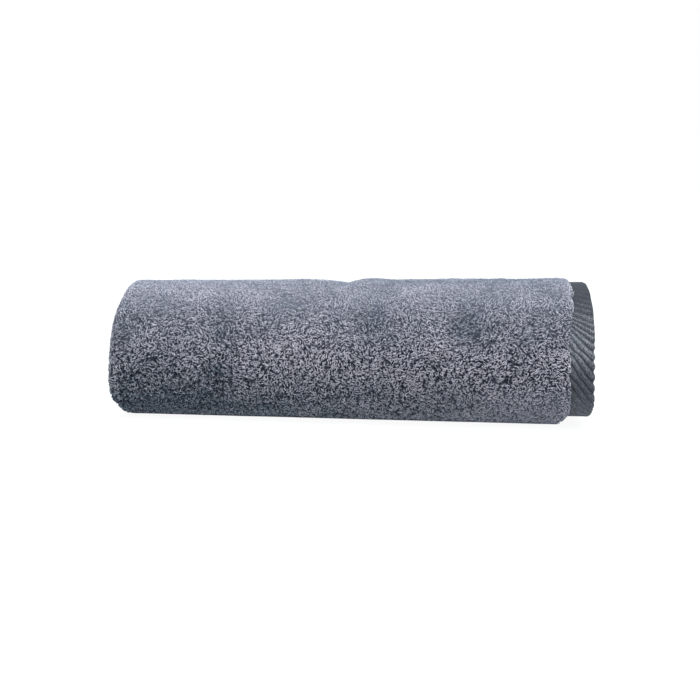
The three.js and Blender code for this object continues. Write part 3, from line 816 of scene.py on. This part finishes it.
# the nap: tufts lean together one way and another, and out over the border at the pile's edge
napSize, swirlSize, swirlOffset = 8, 16, Vector((5, 9, 2))
noise.seed_set(pile["seed"])  # or else noise_vector takes its offsets from the clock
nap = np.array([noise.noise_vector(Vector(place) / (napSize * mm)) for place in points.reshape(-1, 3)])
nap = nap.reshape(x.shape + (3,)) * 0.7
nap[..., 0] += np.where(isEdge, 0.1, 0) + 0.15 * smoothStep(x, topX - 3, topX) * ~isBorder
nap[..., 2] -= 0.15 * (1 - isEdge)
swirl = np.array([noise.noise(Vector(place) / (swirlSize * mm) + swirlOffset)
                  for place in points.reshape(-1, 3)]) * 3.0
facing = np.empty(len(clothMesh.vertices) * 3)
clothMesh.vertices.foreach_get("normal", facing)
facing = facing.reshape(-1, 3)
bedValues = {"coverage": coverage, "tone": tone, "nap": nap, "stature": stature, "relief": relief,
             "swirl": swirl, "facing": facing}

quadRows = np.repeat(np.arange(rows - 1), around)
quadSpots = np.tile(np.arange(around), rows - 1)
grid = np.array(quads[:(rows - 1) * around])
zoneHere, zoneNext = zones[quadSpots], zones[(quadSpots + 1) % around]
pileSpot = (zoneHere >= edgeZone) & (zoneNext >= edgeZone) & (quadSpots != around - 1)
pileSpot |= (zoneHere == borderZone) & (zoneNext == edgeZone)
kept = pileSpot & (coverage.ravel()[grid].max(axis=1) > 0)
onOuter = quadSpots < outerCount
rowAngle = turned[:, middleSpot][quadRows]
loopPieces = []
for index, (name, angleFrom, angleTo, spacing) in enumerate(loopParts):
    chosen = kept & onOuter & (rowAngle >= angleFrom) & (rowAngle < angleTo)
    loopPieces.append(growLoops(name, grid[chosen], spacing, pile["seed"] + index))
inner = kept & ((onOuter & (rowAngle >= pile["shownTo"])) | ~onOuter)
atFold = x.ravel()[grid[:, 0]] < 0
foldInFront = (zoneHere == foldZone) & (rowAngle > 66) & (rowAngle < 250) & (quadSpots < len(outsideFace))
for name, chosen, spacing, seed in (("loopsFoldFront", atFold & foldInFront, 1.1, 33),
                                    ("loopsFoldEnd", atFold & ~foldInFront, 1.75, 31),
                                    ("loopsHemEnd", ~atFold, 1.75, 32)):
    loopPieces.append(growLoops(name, grid[inner & chosen], spacing, seed))

# The side hem's lockstitch, in millimetres
seam = {"fromEdge": 6.3, "pitch": 3.2, "length": 2.5, "thread": 0.28, "proud": 0.12, "firstSpot": 4}


def sewingThread():
    # two-ply sewing thread: finer and smoother than the loops, so it shows as small bright dashes
    material, tree, shader = newMaterial("twoPlySewingThread", 0.6, 0.1, 0.4)
    shader.inputs["Base Color"].default_value = colours["thread"]
    return material


def buildStitchTree():
    sizes = {size.capitalize(): seam[size] * mm for size in ("pitch", "length", "thread")}
    tree, given = newTree("lockstitch", "Line", sizes, "Stitches")
    add = partial(addNode, tree)
    line = add("GeometryNodeMeshToCurve", None, {"Mesh": given.outputs["Line"]})
    spots = add("GeometryNodeCurveToPoints", {"mode": "LENGTH"},
                {"Curve": line, "Length": given.outputs["Pitch"]})
    grain = add("GeometryNodeMeshUVSphere", {"Segments": 6, "Rings": 5, "Radius": 1.0})
    halfLength = add("ShaderNodeMath", {"operation": "MULTIPLY", 1: 0.5}, {0: given.outputs["Length"]})
    thread = given.outputs["Thread"]
    span = add("ShaderNodeCombineXYZ", None, {"X": thread, "Y": thread, "Z": halfLength})
    placed = add("GeometryNodeInstanceOnPoints", None,
                 {"Points": spots.outputs["Points"], "Instance": grain,
                  "Rotation": spots.outputs["Rotation"], "Scale": span})
    solid = add("GeometryNodeRealizeInstances", None, {0: placed})
    dyed = add("GeometryNodeSetMaterial", None, {0: solid, "Material": given.outputs["Yarn"]})
    add("NodeGroupOutput", None, {0: dyed})
    return tree


def sewSideHem():
    # the line of stitches that holds the side hem down, along the towel's free edge
    row, shownSpots = edgeRows.index(seam["fromEdge"]), slice(seam["firstSpot"], outerCount)
    outwards = facing.reshape(rows, around, 3)[row, shownSpots]
    places = points[row, shownSpots] + outwards * seam["proud"] * mm
    line = bpy.data.meshes.new("seamLine")
    line.from_pydata(places.tolist(), [(spot, spot + 1) for spot in range(len(places) - 1)], [])
    mesh = grow("sideHemStitches", line, buildStitchTree(), {"Yarn": sewingThread()})
    mesh.polygons.foreach_set("use_smooth", [True] * len(mesh.polygons))
    for old in list(mesh.uv_layers):
        mesh.uv_layers.remove(old)
    return keepPiece(mesh)


loopPieces.append(sewSideHem())

# The floor, the light and the camera
studio = {"sky": 1.0, "lamp": 2.3, "lampTilt": 12, "lampSide": 8, "lampSpread": 80,
          "floor": "#4d5254", "floorGlow": 0.93, "floorReach": 30}
view = {"away": 0.9, "azimuth": 4.57, "elevation": 8.0, "roll": 0.56, "focalPixels": 1174.5, "right": 1.4,
        "up": 2.6, "aim": (0, 0, 0.05), "sensor": 36, "frame": 700, "farthest": 100}

reach = studio["floorReach"]
floorMesh = bpy.data.meshes.new("floor")
floorMesh.from_pydata([(-reach, -reach, 0), (reach, -reach, 0), (reach, reach, 0), (-reach, reach, 0)],
                      [], [(0, 1, 2, 3)])
floor = addObject("floor", floorMesh)
# a pale sheet lit from below, which keeps shadows faint
acrylic = bpy.data.materials.new("backlitStudioAcrylic")
acrylic.use_nodes = True
acrylicShader = acrylic.node_tree.nodes["Principled BSDF"]
for socket, value in (("Base Color", linear(studio["floor"])), ("Roughness", 1.0),
                      ("Specular IOR Level", 0.0), ("Emission Color", (1, 1, 1, 1)),
                      ("Emission Strength", studio["floorGlow"])):
    acrylicShader.inputs[socket].default_value = value
floorMesh.materials.append(acrylic)
floor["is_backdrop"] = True

world = bpy.data.worlds.new("studio")
bpy.context.scene.world = world
world.use_nodes = True
world.node_tree.nodes["Background"].inputs["Color"].default_value = (1, 1, 1, 1)
world.node_tree.nodes["Background"].inputs["Strength"].default_value = studio["sky"]
lamp = bpy.data.lights.new("softbox", "SUN")
lamp.energy = studio["lamp"] * math.pi
lamp.angle = math.radians(studio["lampSpread"])
lampObject = addObject("softbox", lamp)
lampObject.rotation_euler = (-math.radians(studio["lampTilt"]), math.radians(studio["lampSide"]), 0)
bpy.context.scene.view_settings.view_transform = "Standard"


def placeCamera():
    azimuth, elevation, rollBy = (math.radians(view[key]) for key in ("azimuth", "elevation", "roll"))
    back = Vector((math.sin(azimuth) * math.cos(elevation), -math.cos(azimuth) * math.cos(elevation),
                   math.sin(elevation)))
    right = Vector((math.cos(azimuth), math.sin(azimuth), 0))
    up = back.cross(right)
    rolledRight = right * math.cos(rollBy) + up * math.sin(rollBy)
    rolledUp = up * math.cos(rollBy) - right * math.sin(rollBy)
    pixel = view["away"] / view["focalPixels"]
    spot = (Vector(view["aim"]) + back * view["away"] - rolledRight * view["right"] * pixel
            - rolledUp * view["up"] * pixel)
    lens = bpy.data.cameras.new("camera")
    lens.sensor_width = view["sensor"]
    lens.lens = view["sensor"] * view["focalPixels"] / view["frame"]
    lens.clip_end = view["farthest"]
    camera = addObject("camera", lens)
    sides = [[rolledRight[i], rolledUp[i], back[i], spot[i]] for i in range(3)]
    camera.matrix_world = Matrix(sides + [[0, 0, 0, 1]])
    bpy.context.scene.camera = camera


placeCamera()
print("floor, light and camera done")

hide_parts("towel")
for piece in [towelCloth, *loopPieces]:
    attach(piece, "root")
low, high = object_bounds()
print("visual box", [round(v, 4) for v in low], [round(v, 4) for v in high])
